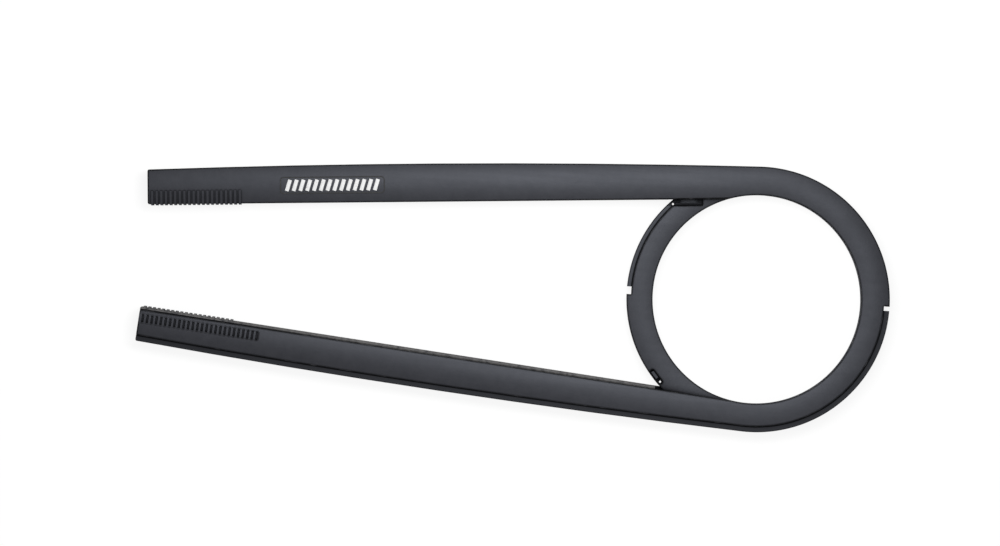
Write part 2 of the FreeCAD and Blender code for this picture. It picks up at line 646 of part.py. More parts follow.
    def dress_edges(self, name, kind, size_name, size, wanted):
        """Round or bevel the edges of the form so far that a test picks out."""
        base = self.body.Tip
        names = [f"Edge{number}" for number, edge in enumerate(base.Shape.Edges, start=1) if wanted(edge)]
        dressing = self.body.newObject(f"PartDesign::{kind}", name)
        dressing.Base = (base, names)
        dressing.setExpression(size_name, size)
        self.doc.recompute()

    def is_arm_corner(self, edge):
        """Upright edge at the end of an arm."""
        low, high = edge.BoundBox.ZMin, edge.BoundBox.ZMax
        if edge.BoundBox.XLength + edge.BoundBox.YLength > TINY or high - low < TINY:
            return False
        point = edge.Vertexes[0].Point
        inset = self.value("Sizes.outer_land + Sizes.joint_gap")
        corners = [
            self.arm_point(UPPER, self.arm_length, 0),
            self.bow(UPPER, 0.0)[3],
            self.arm_point(LOWER, self.arm_length, self.value(LID_INSET)),
            self.bow(LOWER, inset)[3],
        ]
        return any(math.hypot(point.x - at.x, point.y - at.y) < NEAR for at in corners)

    def is_rim_foot(self, edge):
        """Outer edge at the free end of the arm, ring and arc rims."""
        box = edge.BoundBox
        if box.ZLength > TINY or box.ZMax > 0:
            return False
        middle = edge.valueAt((edge.FirstParameter + edge.LastParameter) / 2)
        reach = math.hypot(middle.x, middle.y)
        level = -box.ZMax
        on_arc = abs(reach - self.value(ARC)) < NEAR and abs(level - self.value("Sizes.arc_rim_level")) < NEAR
        centre, radius = self.bow(UPPER, 0.0)[:2]
        bowed = abs(math.hypot(middle.x - centre.x, middle.y - centre.y) - radius) < NEAR
        round_front = abs(reach - self.value(RING)) < NEAR
        on_rim = (bowed or round_front) and abs(level - self.value("Sizes.rim_level")) < NEAR
        return on_arc or on_rim

    def is_lip_foot(self, edge):
        """Edge at the free end of the inner rim, on the side towards the other arm."""
        box = edge.BoundBox
        if box.ZLength > TINY or abs(box.ZMax + self.value("Sizes.rim_level")) > NEAR:
            return False
        reaches = [
            point.Point.y * math.cos(self.half_angle) - point.Point.x * math.sin(self.half_angle)
            for point in edge.Vertexes
        ]
        return all(abs(reach - self.value(ARM)) < NEAR for reach in reaches)

    def dress(self):
        self.dress_edges("ArmCorners", "Fillet", "Radius", "Sizes.corner_round", self.is_arm_corner)
        self.dress_edges("RimFeet", "Chamfer", "Size", "Sizes.rim_bevel", self.is_rim_foot)
        self.dress_edges("LipFeet", "Chamfer", "Size", "Sizes.lip_bevel", self.is_lip_foot)


def make_outer(doc, sheet):
    shell = Shell(doc, sheet, "outer_half_shell")
    shell.rear_arc()
    shell.steps()
    shell.face()
    shell.rims("Rims", "Sizes.outer_land", "Sizes.inner_land", "Sizes.rim_level")
    shell.rims("Ledges", OUTER_WALL, INNER_WALL, "Sizes.seat_level")
    shell.arc_rim("ArcRim", "Sizes.arc_land", "Sizes.arc_rim_level")
    shell.arc_rim("ArcLedge", ARC_WALL, "Sizes.arc_seat_level")
    shell.hole()
    shell.groove()
    shell.tongue()
    shell.dress()
    shell.window()
    shell.ribs()
    shell.slots()
    return shell.body


def make_inner(doc, outer):
    """The same moulding turned over about the case's long axis."""
    body = doc.addObject("PartDesign::Body", "inner_half_shell")
    body.Label = "inner_half_shell"
    body.BaseFeature = outer
    body.Placement = FreeCAD.Placement(FreeCAD.Vector(), FreeCAD.Rotation(vector(1, 0), 180))
    doc.recompute()
    return body


def check(doc, bodies):
    for obj in doc.Objects:
        if "Invalid" in obj.State or "Error" in obj.State:
            raise RuntimeError(f"{obj.Name} failed: {obj.State}")
    for body in bodies:
        if body.Shape.isNull() or not body.Shape.isValid() or len(body.Shape.Solids) != 1:
            raise RuntimeError(f"{body.Label} is not one valid solid")


def main():
    doc = FreeCAD.newDocument("ChainCase")
    sheet = make_sheet(doc)
    outer = make_outer(doc, sheet)
    inner = make_inner(doc, outer)
    doc.recompute()
    bodies = [outer, inner]
    check(doc, bodies)
    os.makedirs("parts", exist_ok=True)
    for body in bodies:
        body.Shape.exportStep(f"parts/{body.Label}.step")
        print(body.Label, round(body.Shape.Volume), "cubic mm")


main()
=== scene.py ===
# %% [markdown]
# # Front section of a bicycle chain case
# The real case is moulded in black plastic: a hollow ring goes round the chainring, and two long hollow arms carry
# the chain to the rear wheel. Two equal half shells snap together, and the seam swaps sides at two notches.
# The CAD model holds the whole form, so this script dresses it: softened edges, finer round faces, a grained
# plastic, a row of plain bars, and a studio. We start by loading the CAD frame and keeping its box.

# %% Load the CAD frame
import math

import bmesh
import bpy
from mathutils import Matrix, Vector, kdtree


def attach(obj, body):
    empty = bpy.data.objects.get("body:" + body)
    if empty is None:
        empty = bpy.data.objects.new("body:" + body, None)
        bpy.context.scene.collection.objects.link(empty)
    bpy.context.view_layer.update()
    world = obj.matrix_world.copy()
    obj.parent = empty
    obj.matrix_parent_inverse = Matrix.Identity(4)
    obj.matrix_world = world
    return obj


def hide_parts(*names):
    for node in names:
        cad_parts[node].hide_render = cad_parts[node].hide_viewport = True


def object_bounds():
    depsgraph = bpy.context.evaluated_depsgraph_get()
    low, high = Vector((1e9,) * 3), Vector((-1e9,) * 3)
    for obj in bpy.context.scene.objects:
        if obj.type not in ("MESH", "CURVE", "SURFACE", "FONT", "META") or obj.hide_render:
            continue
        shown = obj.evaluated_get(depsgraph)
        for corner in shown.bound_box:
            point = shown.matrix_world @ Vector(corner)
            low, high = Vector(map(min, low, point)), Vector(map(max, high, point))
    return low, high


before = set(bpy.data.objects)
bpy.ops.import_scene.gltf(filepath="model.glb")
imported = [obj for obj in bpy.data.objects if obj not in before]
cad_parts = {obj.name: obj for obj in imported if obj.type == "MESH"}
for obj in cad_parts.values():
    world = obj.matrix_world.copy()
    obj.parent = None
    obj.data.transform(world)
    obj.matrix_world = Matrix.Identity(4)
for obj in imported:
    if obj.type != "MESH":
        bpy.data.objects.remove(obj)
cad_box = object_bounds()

print("CAD nodes:", sorted(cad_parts), "box:", [[round(x, 4) for x in corner] for corner in cad_box])

# %% [markdown]
# ## The rule of the crowned faces
# A CAD mesh is made of flat triangles, but the real faces are gently crowned. Across an arm, across the ring and
# across the set-back plate at the rear they follow the same arc, centred under the chain line. Once that rule is
# written down, any point can be lifted onto the true face, and its true normal is known too.

# %% Height and normal of the crowned faces
MM = 0.001
PITCH_RADIUS = 76.9 * MM
CROWN_RADIUS = 60.0 * MM
FACE_LEVEL = 10.0 * MM
REAR_LEVEL = 6.4 * MM
ARM_ANGLE = math.radians(4.65)


def square_to_chain(level, x, y):
    """Level direction square to the chain line at a point, and the point's distance out from that line."""
    side = math.copysign(1.0, y)
    behind = -x * math.cos(ARM_ANGLE) - side * y * math.sin(ARM_ANGLE)
    if level == FACE_LEVEL and behind > 0:
        way = Vector((-math.sin(ARM_ANGLE), side * math.cos(ARM_ANGLE), 0.0))
    else:
        way = Vector((x, y, 0.0)).normalized()
    return way, way.dot((x, y, 0.0)) - PITCH_RADIUS


def crown(level, x, y):
    """Height and normal of a crowned face over a point."""
    way, across = square_to_chain(level, x, y)
    across = max(-CROWN_RADIUS / 2, min(CROWN_RADIUS / 2, across))
    rise = math.sqrt(CROWN_RADIUS**2 - across**2)
    normal = (way * across + Vector((0.0, 0.0, rise))) / CROWN_RADIUS
    return level - CROWN_RADIUS + rise, normal


print("an arm's face falls", round((FACE_LEVEL - crown(FACE_LEVEL, 0, 67.8 * MM)[0]) / MM, 2), "mm to its edge")

# %% [markdown]
# ## Finer round faces
# We copy each CAD mesh, merge its loose corners, and sort the faces by what they are: the crowned face, the set-back
# plate, or a wall. An edge on a crowned face, or round a wall about the crank axis, is halved where its middle misses
# the true surface, and the new point is moved there. Flat walls stay as they are, so the copy gets finer only where
# it is curved.

# %% Sort the faces and halve the edges that miss the true surface
ON_SURFACE = 0.006 * MM
MISS = 0.007 * MM
MERGE = 0.03 * MM
MOST_STRETCH = 1.02
KEY_DIGITS = 7
SHARP = math.radians(20)
FACES_OUT, UPRIGHT = 0.9, 0.1
WALL, FACE, PLATE = 0, 1, 2
LEVELS = {FACE: FACE_LEVEL, PLATE: REAR_LEVEL}


def lies_on(vert, level, side):
    """Whether a point is on the crowned face of a level."""
    return abs(side * vert.co.z - crown(level, vert.co.x, vert.co.y)[0]) < ON_SURFACE


def sort_faces(mesh, side):
    """Write on each face what it is."""
    kind = mesh.faces.layers.int.new("kind")
    for face in mesh.faces:
        if face.normal.z * side < FACES_OUT:
            continue
        for name, level in LEVELS.items():
            if all(lies_on(vert, level, side) for vert in face.verts):
                face[kind] = name
    return kind


def on_round_wall(edge):
    """Whether an edge runs round a wall that is turned about the crank axis."""
    first, second = (math.hypot(v.co.x, v.co.y) for v in edge.verts)
    if abs(first - second) > ON_SURFACE or not edge.is_manifold:
        return False
    upright = all(abs(face.normal.z) < UPRIGHT for face in edge.link_faces)
    return upright or edge.calc_face_angle() > SHARP


def true_middle(edge, kind, side):
    """The middle of an edge, and where it should be."""
    middle = (edge.verts[0].co + edge.verts[1].co) / 2
    target = middle.copy()
    if on_round_wall(edge):
        stretch = math.hypot(*edge.verts[0].co.xy) / math.hypot(*middle.xy)
        if stretch < MOST_STRETCH:
            target.x *= stretch
            target.y *= stretch
    kinds = {face[kind] for face in edge.link_faces} & set(LEVELS)
    if kinds:
        target.z = side * crown(LEVELS[kinds.pop()], target.x, target.y)[0]
    return middle, target


def halve(mesh, kind, side, passes=7):
    """Halve edges until each follows the true surface."""
    for _ in range(passes):
        places = {}
        coarse = []
        for edge in mesh.edges:
            middle, target = true_middle(edge, kind, side)
            if (target - middle).length > MISS:
                coarse.append(edge)
                places[middle.to_tuple(KEY_DIGITS)] = target
        if not coarse:
            break
        old = set(mesh.verts)
        bmesh.ops.subdivide_edges(mesh, edges=coarse, cuts=1)
        for vert in set(mesh.verts) - old:
            vert.co = places.get(vert.co.to_tuple(KEY_DIGITS), vert.co)
        bmesh.ops.triangulate(mesh, faces=[face for face in mesh.faces if len(face.verts) > 3])
        mesh.normal_update()


def fine_copy(node, side):
    """Finer copy of a CAD mesh, with its faces sorted."""
    mesh = bmesh.new()
    mesh.from_mesh(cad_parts[node].data)
    bmesh.ops.remove_doubles(mesh, verts=mesh.verts, dist=MERGE)
    mesh.normal_update()
    kind = sort_faces(mesh, side)
    before = len(mesh.faces)
    halve(mesh, kind, side)
    print(node, "triangles:", before, "->", len(mesh.faces))
    return mesh


OUTWARD = {"outer_half_shell": 1, "inner_half_shell": -1}
meshes = {node: fine_copy(node, side) for node, side in OUTWARD.items()}

# %% [markdown]
# ## Softened edges
# A mould never gives a knife edge. A bevel would tangle in the thin triangles along the arms, so the rounding is made
# from a depth instead: for each point of a crowned face we measure how deep it lies inside the outline, as a share of
# the rounding. A KD-tree holds spots along the outline, so the near ones are found quickly. The latch slots get a
# smaller rounding, and the latch ribs none.

# %% Find the outlines and measure the depth inside them
EDGE_ROUND = 0.45 * MM
SLOT_ROUND = 0.22 * MM
STEEP = 0.65
SPACING = 0.3 * MM
ON_OUTLINE = 0.01
RIB_START, RIB_END = -0.338, -2.5 * MM
SLOT_START, SLOT_TOP, SLOT_END = -0.320, -6.8 * MM, -1.0 * MM


def in_slots(place, side):
    """Whether a place on a shell's outer face is in the row of latch slots."""
    across = square_to_chain(FACE_LEVEL, place.x, place.y)[1]
    return place.y * side < 0 and place.x < SLOT_START and SLOT_TOP < across < SLOT_END


def rounding_of(edge, side):
    """Radius that an outline edge is rounded to: less at the latch slots, none at the latch ribs."""
    middle = (edge.verts[0].co + edge.verts[1].co) / 2
    across = square_to_chain(FACE_LEVEL, middle.x, middle.y)[1]
    if middle.y * side > 0 and middle.x < RIB_START and across < RIB_END:
        return 0.0
    return SLOT_ROUND if in_slots(middle, side) else EDGE_ROUND


def outline_segments(mesh, side, name):
    """Start, end, way out and rounding of each edge where one kind of crowned face meets a wall that falls away."""
    kind = mesh.faces.layers.int["kind"]
    for edge in mesh.edges:
        crowned = [face for face in edge.link_faces if face[kind] == name]
        walls = [face for face in edge.link_faces if face[kind] == WALL and abs(face.normal.z) < STEEP]
        if len(crowned) != 1 or len(walls) != 1:
            continue
        radius = rounding_of(edge, side)
        rises = side * walls[0].calc_center_median().z > max(side * vert.co.z for vert in edge.verts)
        if rises or not radius:
            continue
        start, end = (vert.co.xy for vert in edge.verts)
        way = (end - start).orthogonal().normalized()
        if way.dot(crowned[0].calc_center_median().xy - start) > 0:
            way.negate()
        yield start, end, way, radius


class Outline:
    """Outline of one kind of crowned face, and the depth of points inside it."""

    def __init__(self, mesh, side, name):
        self.segments = list(outline_segments(mesh, side, name))
        spots = []
        for number, (start, end, _, _) in enumerate(self.segments):
            count = math.ceil((end - start).length / SPACING)
            spots += [(start.lerp(end, step / count), number) for step in range(count + 1)]
        self.tree = kdtree.KDTree(len(spots))
        for number, (spot, _) in enumerate(spots):
            self.tree.insert((*spot, 0.0), number)
        self.tree.balance()
        self.owner = [number for _, number in spots]

    def depth(self, x, y):
        """Depth of a point as a share of the rounding, the way out to the outline, and the rounding."""
        point = Vector((x, y))
        share, out, size = 1.0, Vector((0.0, 0.0)), EDGE_ROUND
        for _, spot, _ in self.tree.find_range((x, y, 0.0), EDGE_ROUND + SPACING):
            start, end, way, radius = self.segments[self.owner[spot]]
            along = (point - start).dot(end - start) / (end - start).length_squared
            offset = start.lerp(end, max(0.0, min(1.0, along))) - point
            here = offset.length / radius
            if here < ON_OUTLINE and share < ON_OUTLINE:
                out = out + way
            elif here < share:
                share, size = here, radius
                out = way.copy() if here < ON_OUTLINE else offset
        return share, out.normalized(), size


outlines = {
    (node, name): Outline(meshes[node], side, name) for node, side in OUTWARD.items() for name in LEVELS
}
for (node, name), outline in outlines.items():
    print(node, "face" if name == FACE else "plate", "outline segments:", len(outline.segments))

# %% [markdown]
# ## Cutting and sinking the outer band
# Three lines of equal depth are cut into each crowned face. Depth doesn't change evenly along an edge, so the place
# where an edge crosses a line is found by halving. An edge that runs from outline to outline over deeper ground is
# opened in its middle first, or the cuts would miss it. Then the points of the outer band sink along a quarter
# circle. Nothing moves sideways, so no face folds over.

# %% Cut along lines of equal depth and sink the outer band
CUTS = (0.999, 0.45, 0.12)
FULL_DEPTH = 0.99
DEEPER = 0.25
HALVINGS = 24


class Depths:
    """Depth of every point of the crowned faces of one shell."""

    def __init__(self, mesh, node):
        self.mesh = mesh
        self.node = node
        self.side = OUTWARD[node]
        self.kind = mesh.faces.layers.int["kind"]
        self.at = {}
        for face in mesh.faces:
            if face[self.kind] in LEVELS:
                for vert in face.verts:
                    self.measure(vert, face[self.kind])

    def measure(self, vert, name):
        """Keep the depth of a point."""
        if vert not in self.at:
            self.at[vert] = outlines[self.node, name].depth(vert.co.x, vert.co.y)

    def split(self, edge, name, share):
        """Put a point on an edge, on the true face."""
        vert = bmesh.utils.edge_split(edge, edge.verts[0], share)[1]
        vert.co.z = self.side * crown(LEVELS[name], vert.co.x, vert.co.y)[0]
        self.measure(vert, name)
        return vert

    def crowned_edges(self):
        """Edges of the crowned faces, each with the kind of its face and the depths at its ends."""
        for edge in list(self.mesh.edges):
            names = {face[self.kind] for face in edge.link_faces} & set(LEVELS)
            if names and all(vert in self.at for vert in edge.verts):
                yield edge, names.pop(), [self.at[vert][0] for vert in edge.verts]

    def open_up(self, passes=8):
        """Split the edges that go from outline to outline over deeper ground."""
        total = 0
        for _ in range(passes):
            made = 0
            for edge, name, ends in self.crowned_edges():
                middle = (edge.verts[0].co.xy + edge.verts[1].co.xy) / 2
                if max(ends) < FULL_DEPTH and outlines[self.node, name].depth(*middle)[0] > max(ends) + DEEPER:
                    self.split(edge, name, 0.5)
                    made += 1
            bmesh.ops.triangulate(self.mesh, faces=[face for face in self.mesh.faces if len(face.verts) > 3])
            total += made
            if not made:
                break
        return total

    def crossing(self, edge, name, level, rising):
        """Share of an edge at which it reaches a depth, found by halving."""
        first, second = (vert.co.xy for vert in edge.verts)
        low, high = 0.0, 1.0
        for _ in range(HALVINGS):
            middle = (low + high) / 2
            shallow = outlines[self.node, name].depth(*first.lerp(second, middle))[0] < level
            low, high = (middle, high) if shallow == rising else (low, middle)
        return high

    def cut(self, level):
        """Split crowned faces along the line at one depth."""
        made = []
        for edge, name, (one, two) in self.crowned_edges():
            if (one - level) * (two - level) < 0:
                made.append(self.split(edge, name, self.crossing(edge, name, level, one < two)))
        bmesh.ops.connect_verts(self.mesh, verts=made)
        return len(made)

    def sink(self):
        """Lower the outer band along a quarter circle."""
        for vert, (share, _, size) in self.at.items():
            vert.co.z -= self.side * size * (1.0 - math.sqrt(1.0 - (1.0 - share) ** 2))
        self.mesh.normal_update()


depths = {}
for node, mesh in meshes.items():
    depths[node] = Depths(mesh, node)
    opened = depths[node].open_up()
    cuts = [depths[node].cut(level) for level in CUTS]
    depths[node].sink()
    print(node, "edges opened:", opened, "points cut in:", cuts, "faces:", len(mesh.faces))

# %% [markdown]
# ## True normals
# Blender would take the shading from the triangles, and the long thin ones would show. So each corner is given its
# true normal: on a crowned face from the rule of the crown and the depth, and on a wall from the facets round the
# corner that belong to the same smooth surface.

# %% Normals of crowned faces and walls
SMOOTH_WITHIN = math.cos(math.radians(32))


def face_normal(face, vert, depth):
    """True normal of a crowned face at a corner, turned towards the wall in the rounded band."""
    share, out, _ = depth.at[vert]
    crowned = crown(LEVELS[face[depth.kind]], vert.co.x, vert.co.y)[1]
    lean = 1.0 - share
    normal = crowned * math.sqrt(1.0 - lean**2) + Vector((*out, 0.0)) * lean
    return Vector((normal.x, normal.y, depth.side * normal.z)).normalized()


def wall_normal(face, vert, kind):
    """Normal of a wall at a corner, smooth over the facets of a round wall."""
    total = Vector()
    for other in vert.link_faces:
        if other[kind] == WALL and other.normal.dot(face.normal) > SMOOTH_WITHIN:
            total += other.normal * other.calc_area()
    return total.normalized() if total.length else face.normal.copy()


def corner_normals(mesh, depth):
    """True normals of all corners, face by face."""
    return [
        face_normal(face, vert, depth) if face[depth.kind] in LEVELS else wall_normal(face, vert, depth.kind)
        for face in mesh.faces
        for vert in face.verts
    ]


normals = {node: corner_normals(mesh, depths[node]) for node, mesh in meshes.items()}
print("corner normals:", {node: len(found) for node, found in normals.items()})

# %% [markdown]
# ## Marks for the material
# A material can read values that are written on the faces. Five marks are written here: the faces that get painted
# shade towards their edges, the band along the outlines that hands rub, the lips that show beside the seam along the
# arms and get a painted highlight, the edges and lands that turn or lie away from the light and get painted shade, and
# how strongly painted shade darkens a face where it lies in a recess. Then each mesh becomes a piece that stands in
# for its CAD node.

# %% Mark the faces and make the shell pieces
# Marks for painted light: the lip is painted paler as if lit, and the outer land is painted in shade.
LIP_EDGE = -9.3 * MM
LIP_START = -0.085
LAND_EDGE = 6.5 * MM
LAND_SHADE = 0.55
FACES_BACK = -0.3
BAND_END = 0.9999
# Faces deep in the two small windows beside the set-back plate get painted shade four times as strong.
WINDOW_X = (-0.064, -0.038)
WINDOW_Y = (0.056, 0.066)
WINDOW_SHADE = 4.0


def is_rubbed(face, depth):
    """Whether a face is in the rounded band along an outline."""
    shares = [depth.at[vert][0] for vert in face.verts]
    return min(shares) < FULL_DEPTH and max(shares) < BAND_END


def rim_marks(face, side):
    """Whether a face is on the lip along an arm or on the outer land; both show past the other shell's edge."""
    middle = face.calc_center_median()
    if face.normal.z * side > FACES_BACK or middle.y * side < 0:
        return False, False
    across = square_to_chain(FACE_LEVEL, middle.x, middle.y)[1]
    return across < LIP_EDGE and middle.x <= LIP_START, across > LAND_EDGE


def in_window(face):
    """Whether a face is inside one of the two small windows beside the set-back plate."""
    return all(
        WINDOW_X[0] < vert.co.x < WINDOW_X[1] and WINDOW_Y[0] < abs(vert.co.y) < WINDOW_Y[1] for vert in face.verts
    )


def marks_of(mesh, depth):
    """Values of the five marks on every face; the face that lies on the table has no recess."""
    marks = {"edged": [], "rubbed": [], "lip": [], "shade": [], "recess": []}
    side = depth.side
    for face in mesh.faces:
        if face[depth.kind] in LEVELS:
            rubbed = is_rubbed(face, depth)
            edged = not in_slots(face.calc_center_median(), side)
            found = (edged, rubbed, 0.0, rubbed and edged, side > 0)
        else:
            lip, land = rim_marks(face, side)
            found = (0.0, 0.0, lip, LAND_SHADE * land, WINDOW_SHADE if in_window(face) else 1.0)
        for values, value in zip(marks.values(), found):
            values.append(float(value))
    return marks


def shell_piece(name, node):
    """Visible piece that replaces a CAD node."""
    mesh = meshes[node]
    marks = marks_of(mesh, depths[node])
    data = bpy.data.meshes.new(name)
    mesh.to_mesh(data)
    mesh.free()
    data.polygons.foreach_set("use_smooth", [True] * len(data.polygons))
    data.normals_split_custom_set(normals[node])
    for label, values in marks.items():
        data.attributes.new(label, "FLOAT", "FACE").data.foreach_set("value", values)
    piece = bpy.data.objects.new(name, data)
    bpy.context.scene.collection.objects.link(piece)
    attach(piece, "root")
    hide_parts(node)
    counts = {label: sum(value > 0 for value in values) for label, values in marks.items()}
    print(name, "faces:", len(data.polygons), "marked:", counts)
    return piece


shells = [
    shell_piece("outer_shell_skin", "outer_half_shell"),
    shell_piece("inner_shell_skin", "inner_half_shell"),
]

# %% [markdown]
# ## Shared surface effects
# The case is moulded in one black plastic, and three things keep it from looking like a flat fill: the fine grain of
# the mould, faint flow marks along the arms, and edges rubbed smooth by handling. They come from two small node groups
# that give out only values, so the printed bars can use the same groups with other numbers. All textures use object
# coordinates, so they stay fixed to the part.

# %% Node groups for grain and wear


def add_sockets(group, way, sockets):
    """Give a group its sockets, with a default value or None."""
    for name, value in sockets.items():
        socket = group.interface.new_socket(name, in_out=way, socket_type="NodeSocketFloat")
        if value is not None:
            socket.default_value = value


def noise(group, vector, scale, detail, roughness):
    """Noise texture in a group."""
    texture = group.nodes.new("ShaderNodeTexNoise")
    texture.inputs["Detail"].default_value = detail
    texture.inputs["Roughness"].default_value = roughness
    group.links.new(vector, texture.inputs["Vector"])
    group.links.new(scale, texture.inputs["Scale"])
    return texture.outputs["Fac"]


def grain_group():
    """Fine mould grain, broad mottling, and flow marks drawn out along the arms."""
    group = bpy.data.node_groups.new("mould_grain", "ShaderNodeTree")
    add_sockets(group, "INPUT", {"Grain scale": 1100.0, "Mottle scale": 160.0, "Flow scale": 260.0})
    add_sockets(group, "OUTPUT", {"Grain": None, "Mottle": None, "Flow": None})
    entry = group.nodes.new("NodeGroupInput")
    leave = group.nodes.new("NodeGroupOutput")
    place = group.nodes.new("ShaderNodeTexCoord").outputs["Object"]
    drawn_out = group.nodes.new("ShaderNodeMapping")
    drawn_out.inputs["Scale"].default_value = (0.05, 1.0, 1.0)
    group.links.new(place, drawn_out.inputs["Vector"])
    grain = noise(group, place, entry.outputs["Grain scale"], 2.0, 0.55)
    mottle = noise(group, place, entry.outputs["Mottle scale"], 5.0, 0.6)
    flow = noise(group, drawn_out.outputs["Vector"], entry.outputs["Flow scale"], 3.0, 0.5)
    for name, value in (("Grain", grain), ("Mottle", mottle), ("Flow", flow)):
        group.links.new(value, leave.inputs[name])
    return group


def wear_and_highlight_group():
    """Broken mask of the places where an edge is rubbed; it also breaks up the painted highlight on the lips."""
    group = bpy.data.node_groups.new("wear_and_lip_highlight", "ShaderNodeTree")
    add_sockets(group, "INPUT", {"Rubbed": 0.0, "Patch scale": 120.0, "Start": 0.5, "Full": 0.72})
    add_sockets(group, "OUTPUT", {"Wear": None})
    entry = group.nodes.new("NodeGroupInput")
    leave = group.nodes.new("NodeGroupOutput")
    place = group.nodes.new("ShaderNodeTexCoord").outputs["Object"]
    patches = noise(group, place, entry.outputs["Patch scale"], 4.0, 0.6)
    span = group.nodes.new("ShaderNodeMapRange")
    span.interpolation_type = "SMOOTHSTEP"
    group.links.new(patches, span.inputs["Value"])
    group.links.new(entry.outputs["Start"], span.inputs["From Min"])
    group.links.new(entry.outputs["Full"], span.inputs["From Max"])
    both = group.nodes.new("ShaderNodeMath")
    both.operation = "MULTIPLY"
    group.links.new(span.outputs["Result"], both.inputs[0])
    group.links.new(entry.outputs["Rubbed"], both.inputs[1])
    group.links.new(both.outputs["Value"], leave.inputs["Wear"])
    return group


groups = {"grain": grain_group(), "wear": wear_and_highlight_group()}
print("node groups:", [group.name for group in groups.values()])

# %% [markdown]
# ## Black moulded plastic
# The mottling shifts the black very slightly, and the flow marks shift its roughness, so a long highlight breaks up
# as it does on a real moulding. The wear mask, driven by the band marked along the outlines, makes patches of the
# edges paler and smoother. The same group paints the lips paler in patches, a painted highlight where they face the
# lamp. Ambient occlusion gives two more masks of painted shade. Rays out of the surface find the slots, seams and
# windows, and rays into the solid find the outer edges. Both are painted dark and dull, as are the edges and lands
# marked as lying away from the light. The grain is only a bump, because it is far finer than the mesh.

# %% Short ways to build a material
AO_SAMPLES = 8


class Maker:
    """Material built round its Principled BSDF."""

    def __init__(self, name):
        self.material = bpy.data.materials.new(name)
        self.material.use_nodes = True
        self.nodes, self.links = self.material.node_tree.nodes, self.material.node_tree.links
        self.shader = self.nodes["Principled BSDF"]

    def group(self, tree, **values):
        """Node of a shared group; values are named after its inputs."""
        node = self.nodes.new("ShaderNodeGroup")
        node.node_tree = tree
        for name, value in values.items():
            node.inputs[name.replace("_", " ").capitalize()].default_value = value
        return node

    def span(self, source, low, high, start, finish):
        """Map a value from one range to another."""
        node = self.nodes.new("ShaderNodeMapRange")
        for name, value in (("From Min", low), ("From Max", high), ("To Min", start), ("To Max", finish)):
            node.inputs[name].default_value = value
        self.links.new(source, node.inputs["Value"])
        return node.outputs["Result"]

    def mix(self, kind, factor, first, second):
        """Mix two colours or two values; each is a socket or a constant."""
        node = self.nodes.new("ShaderNodeMix")
        node.data_type = kind
        place = {"FLOAT": (0, 2, 3, 0), "RGBA": (0, 6, 7, 2)}[kind]
        self.links.new(factor, node.inputs[place[0]])
        for socket, value in ((node.inputs[place[1]], first), (node.inputs[place[2]], second)):
            if isinstance(value, bpy.types.NodeSocket):
                self.links.new(value, socket)
            else:
                socket.default_value = value
        return node.outputs[place[3]]

    def math(self, operation, first, second, clamp=False):
        """Math node between two sockets."""
        node = self.nodes.new("ShaderNodeMath")
        node.operation = operation
        node.use_clamp = clamp
        self.links.new(first, node.inputs[0])
        self.links.new(second, node.inputs[1])
        return node.outputs["Value"]

    def attribute(self, name):
        """Mark that is written on the faces."""
        node = self.nodes.new("ShaderNodeAttribute")
        node.attribute_name = name
        return node.outputs["Fac"]

    def occlusion(self, distance, full, none, inside=False):
        """Mask of the places where rays out of the surface, or into the solid, soon meet a face."""
        node = self.nodes.new("ShaderNodeAmbientOcclusion")
        node.inputs["Distance"].default_value = distance
        node.inside = node.only_local = inside
        node.samples = AO_SAMPLES
        return self.span(node.outputs["AO"], full, none, 1.0, 0.0)

    def bump(self, height, strength, distance):
        """Bump on the shader's normal."""
        node = self.nodes.new("ShaderNodeBump")
        node.inputs["Strength"].default_value = strength
        node.inputs["Distance"].default_value = distance
        self.links.new(height, node.inputs["Height"])
        self.links.new(node.outputs["Normal"], self.shader.inputs["Normal"])


print("material helpers:", [name for name in vars(Maker) if not name.startswith("_")])

# %% The plastic, and its place on the shells
NOISE_RANGE = (0.3, 0.7)
BLACKS = ((0.0218, 0.0222, 0.0262, 1.0), (0.0282, 0.0286, 0.0332, 1.0))
# The two near blacks below are painted shade for edges, lands and hollows; the pale grey is a painted highlight.
SHADED = (0.009, 0.009, 0.010, 1.0)
WORN = (0.046, 0.046, 0.050, 1.0)
HOLLOW_SHADE = (0.006, 0.006, 0.007, 1.0)
LIP_HIGHLIGHT = (0.125, 0.121, 0.118, 1.0)
COOL_TINT = (0.83, 0.88, 1.0, 1.0)
SATIN, WORN_SATIN = (0.37, 0.41), 0.33
GLOSS, SHADED_GLOSS, HOLLOW_SHADE_GLOSS = 0.245, 0.06, 0.02


def shell_masks(make):
    """Masks of painted shade on edges and lands, worn edges, painted highlight on lips, painted shade in hollows."""
    # Painted shade on outer edges, where rays into the solid soon meet a face, and on the marked edges and lands.
    edges = make.occlusion(1.4 * MM, full=0.8, none=0.98, inside=True)
    edges = make.mix("FLOAT", make.attribute("edged"), 0.0, edges)
    shade = make.mix("FLOAT", make.attribute("shade"), edges, 1.0)
    wear = make.group(groups["wear"])
    make.links.new(make.attribute("rubbed"), wear.inputs["Rubbed"])
    # Painted highlight: the lips are painted paler in patches, where they face the lamp.
    lip_highlight = make.group(groups["wear"], patch_scale=420.0, start=0.15, full=0.65)
    make.links.new(make.attribute("lip"), lip_highlight.inputs["Rubbed"])
    # Painted shade in hollows: rays out of the surface soon meet a face in slots, seams and windows.
    recess_shade = make.occlusion(5.0 * MM, full=0.48, none=0.97)
    hollow_shade = make.math("MULTIPLY", recess_shade, make.attribute("recess"), clamp=True)
    return shade, wear.outputs["Wear"], lip_highlight.outputs["Wear"], hollow_shade


